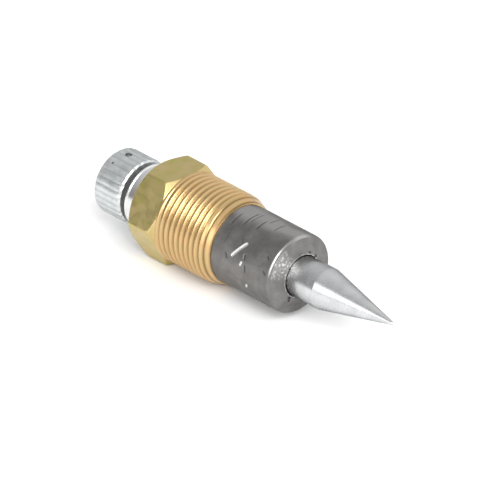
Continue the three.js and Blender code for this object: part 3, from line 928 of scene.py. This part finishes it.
def knob():
    rear, front = ends("knob")
    crest = radii("knob")[1]
    bore = 2.45 * MM
    bore_end = -14.55 * MM
    face = crest - KNOB_CHAMFER
    dish = 0.12 * MM
    back = [
        (rear + dish, 0.0),
        (rear + dish, 1.2 * MM),
        (rear + 0.02 * MM, face - 0.9 * MM),
        (rear, face - 0.5 * MM),
    ]
    side = [
        (rear, face),
        (rear + KNOB_CHAMFER, crest),
        (front - FRONT_EDGE, crest),
        (front, crest - FRONT_EDGE),
    ]
    hole = [(front, bore + 0.25 * MM), (front - 0.25 * MM, bore), (bore_end, bore), (bore_end, 0.0)]
    profile = rounded(back, 0.1 * MM, closed=False)
    side = rounded([(rear, face - 0.1 * MM)] + side + [(front, face)], 0.09 * MM, closed=False)
    profile += split_long(side, 0.12 * MM)
    profile += rounded(hole, 0.05 * MM, closed=False)

    def on_ribs(x, r):
        return ease((r - (crest - KNOB_CHAMFER - 0.05 * MM)) / (0.30 * MM))

    def shape(x, r, angle):
        grown = on_ribs(x, r)
        if grown == 0:
            return r
        place = Vector((x / (1.5 * MM), 3 * math.cos(angle), 3 * math.sin(angle)))
        dents = 0.02 * MM * abs(noise.noise(place))
        chips = 0.16 * MM * max(0.0, noise.noise(place * 3)) * ease((x - front + 0.7 * MM) / (0.4 * MM))
        lost = KNOB_RIB_DEPTH * rib_valley(angle) + dents + chips
        return r - grown * lost - KNOB_PIT_DEPTH * pit(x, r, angle)

    def pit(x, r, angle):
        away = math.hypot(x - KNOB_PIT[0], crest * (angle - KNOB_PIT[1]))
        return ease(1.5 - 1.5 * away / KNOB_PIT_RADIUS)

    # The rib valleys, stored so they can be darkened as painted shade.
    def painted_recess_shade(x, r, angle):
        return 0.7 * on_ribs(x, r) * rib_valley(angle) ** 2

    mesh = revolve("knob", profile, KNOB_RIBS * 16, False, shape, [("painted_recess_shade", painted_recess_shade), ("pit", pit)])
    drill = revolve("drill", [(0, 0), (0, GRUB_HOLE), (crest + MM, GRUB_HOLE), (crest + MM, 0)], 40, False)
    drill.transform(Matrix.Translation((GRUB_X, 0, 0)) @ UPRIGHT)
    return piece("knob", with_hole(mesh, drill), sharp=45)


def grub_screw():
    low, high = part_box("knob_grub_screw")
    radius = 0.5 * MM
    pitch = 0.25 * MM
    socket = 0.28 * MM
    socket_floor = high.z - 0.6 * MM
    point = [(low.z, 0.0), (low.z, 0.25 * MM), (low.z + 0.25 * MM, radius)]
    body = split_long([(low.z + 0.4 * MM, radius), (high.z - 0.12 * MM, radius)], pitch / 8)
    top = [(high.z, radius - 0.12 * MM), (high.z, socket), (socket_floor, socket), (socket_floor, 0.0)]
    profile = rounded(point, 0.03 * MM, False) + body + top

    def shape(z, r, angle):
        if r == socket:
            sector = (angle + math.pi / 6) % (math.pi / 3) - math.pi / 6
            return r * math.cos(math.pi / 6) / math.cos(sector)
        if r < radius - 0.001 * MM or not low.z + 0.4 * MM < z < high.z - 0.13 * MM:
            return r
        place = (z / pitch - angle / TURN) % 1.0
        return r - 0.07 * MM * (1 - abs(2 * place - 1))

    mesh = revolve("knob_grub_screw", profile, 60, False, shape)
    mesh.transform(Matrix.Translation((GRUB_X, 0, 0)) @ UPRIGHT)
    return piece("knob_grub_screw", mesh, sharp=35)


# ---- the gland and the small inner pieces ----

def gland_nut():
    rear, thread_end = ends("gland_nut")
    outer = radii("gland_nut")[1]
    waist = outer - 0.15 * MM  # in front of the bead that runs round the head's rear edge
    head_front = -6.2 * MM
    threaded = 4.4 * MM
    wiper_seat, wiper_seat_end = 3.6 * MM, -7.9 * MM
    bore = 2.45 * MM
    edge = 0.15 * MM
    profile = [
        (rear, wiper_seat), (rear, outer - 0.3 * MM), (rear + 0.3 * MM, outer), (rear + 0.5 * MM, outer),
        (rear + 0.65 * MM, waist), (head_front - edge, waist), (head_front, waist - edge),
        (head_front, threaded), (thread_end - edge, threaded), (thread_end, threaded - edge),
        (thread_end, bore), (wiper_seat_end, bore), (wiper_seat_end, wiper_seat),
    ]
    profile = split_long(rounded(profile, 0.07 * MM, closed=True), 0.06 * MM, closed=True)
    fine_pitch = 0.5 * MM

    def shape(x, r, angle):
        if r < threaded - 0.01 * MM or x < head_front + 0.1 * MM or r > threaded + 0.05 * MM:
            return r
        place = (x / fine_pitch - angle / TURN) % 1.0
        return r - 0.2 * MM * (1 - abs(2 * place - 1)) * ease((x - head_front) / (0.4 * MM))

    mesh = revolve("gland_nut", profile, 144, True, shape)
    for side in (1, -1):
        drill = revolve("drill", [(-MM, 0), (-MM, 0.4 * MM), (MM, 0.4 * MM), (MM, 0)], 32, False)
        drill.transform(Matrix.Translation((rear, 0, side * 4.3 * MM)))
        mesh = with_hole(mesh, drill)
    return piece("gland_nut", mesh, sharp=40)


def plain_ring(node, edge, wave=0.0):
    """A washer, bush or seal: its CAD size with broken edges, and a little waviness where it is soft."""
    x0, x1 = ends(node)
    inner, outer = radii(node)
    profile = rounded(washer_profile(x0, x1, inner, outer), edge, closed=True)
    profile = split_long(profile, 0.25 * MM, closed=True)

    def shape(x, r, angle):
        place = Vector((x / MM, 4 * math.cos(angle), 4 * math.sin(angle)))
        return r - wave * abs(noise.noise(place)) * (1 if r > (inner + outer) / 2 else -1)

    return piece(node, revolve(node, profile, 120, True, shape), sharp=40)


def o_ring(node):
    """A moulded ring with the fine parting line that its mould leaves."""
    x0, x1 = ends(node)
    inner, outer = radii(node)
    section = (x1 - x0) / 2
    middle = (inner + outer) / 2
    corners = 28
    profile = []
    for k in range(corners):
        angle = TURN * k / corners
        reach = section if k % (corners // 2) == 0 else 0.985 * section
        profile.append(((x0 + x1) / 2 - reach * math.cos(angle), middle + reach * math.sin(angle)))
    return piece(node, revolve(node, profile, 120, True), sharp=60)


def backlash_spring():
    """A wire spring with closed, ground ends. It lies between the fixed and the sliding washer."""
    low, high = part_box("backlash_spring")
    wire = 0.35 * MM
    coil = high.y - wire
    turns = 5
    closed_pitch = 2 * wire + 0.05 * MM
    start, end = low.x + wire, high.x - wire
    open_pitch = (end - start - 2 * closed_pitch) / (turns - 2)
    steps = turns * 48
    centres = []
    for i in range(steps + 1):
        turn = turns * i / steps
        x = start + closed_pitch * min(turn, 1)
        x += open_pitch * min(max(turn - 1, 0), turns - 2)
        x += closed_pitch * max(turn - (turns - 1), 0)
        centres.append(Vector((x, coil * math.cos(TURN * turn), coil * math.sin(TURN * turn))))
    mesh = sweep("backlash_spring", centres, wire)
    for polygon in mesh.polygons:
        polygon.use_smooth = True
    mesh.set_sharp_from_angle(angle=math.radians(50))
    mesh.materials.append(MATERIALS[SLOT_OF["backlash_spring"]])
    made = bpy.data.objects.new("backlash_spring_finished", mesh)
    bpy.context.scene.collection.objects.link(made)
    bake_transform(made)
    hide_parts("backlash_spring")
    return made


def retaining_ring():
    x0, x1 = ends("retaining_ring")
    inner, outer = radii("retaining_ring")
    opening = math.radians(30)
    steps = 72
    arc = [opening + (TURN - 2 * opening) * i / steps for i in range(steps + 1)]
    lug = 0.35 * MM

    def outer_radius(angle):
        from_end = min(angle - opening, TURN - opening - angle) * outer
        return outer - lug + lug * ease(1 - from_end / (0.8 * MM))

    outline = [(outer_radius(a) * math.cos(a), outer_radius(a) * math.sin(a)) for a in arc]
    outline += [(inner * math.cos(a), inner * math.sin(a)) for a in reversed(arc)]
    return piece("retaining_ring", extruded("retaining_ring", outline, x0, x1, 0.06 * MM), sharp=40)


def lock_nut():
    x0, x1 = ends("needle_lock_nut")
    inner, corner = radii("needle_lock_nut")
    flat = corner * math.cos(math.pi / 6)
    chamfer = 0.2 * MM
    profile = [
        (x0, inner), (x0, flat), (x0 + chamfer, corner), (x1 - chamfer, corner), (x1, flat), (x1, inner),
    ]
    profile = split_long(rounded(profile, 0.04 * MM, closed=True), 0.08 * MM, closed=True)

    def shape(x, r, angle):
        sector = angle % (math.pi / 3) - math.pi / 6
        return smooth_min(r, flat / math.cos(sector), 0.03 * MM) if r > flat * 0.98 else r

    return piece("needle_lock_nut", revolve("needle_lock_nut", profile, 120, True, shape), sharp=35)


# ---- assembly ----

make_camera()
make_lights()
make_floor()

brass_body()
guide_sleeve()
needle()
spindle()
knob()
grub_screw()
gland_nut()
backlash_spring()
retaining_ring()
lock_nut()
for ring_node in ("front_guide_bush", "gland_washer", "spring_seat_washer", "thrust_washer", "o_ring_spacer"):
    plain_ring(ring_node, 0.08 * MM)
plain_ring("gland_seal_ring", 0.12 * MM, wave=0.03 * MM)
plain_ring("stem_wiper", 0.2 * MM, wave=0.08 * MM)
for ring_node in ("stem_o_ring_rear", "stem_o_ring_front", "sleeve_o_ring"):
    o_ring(ring_node)
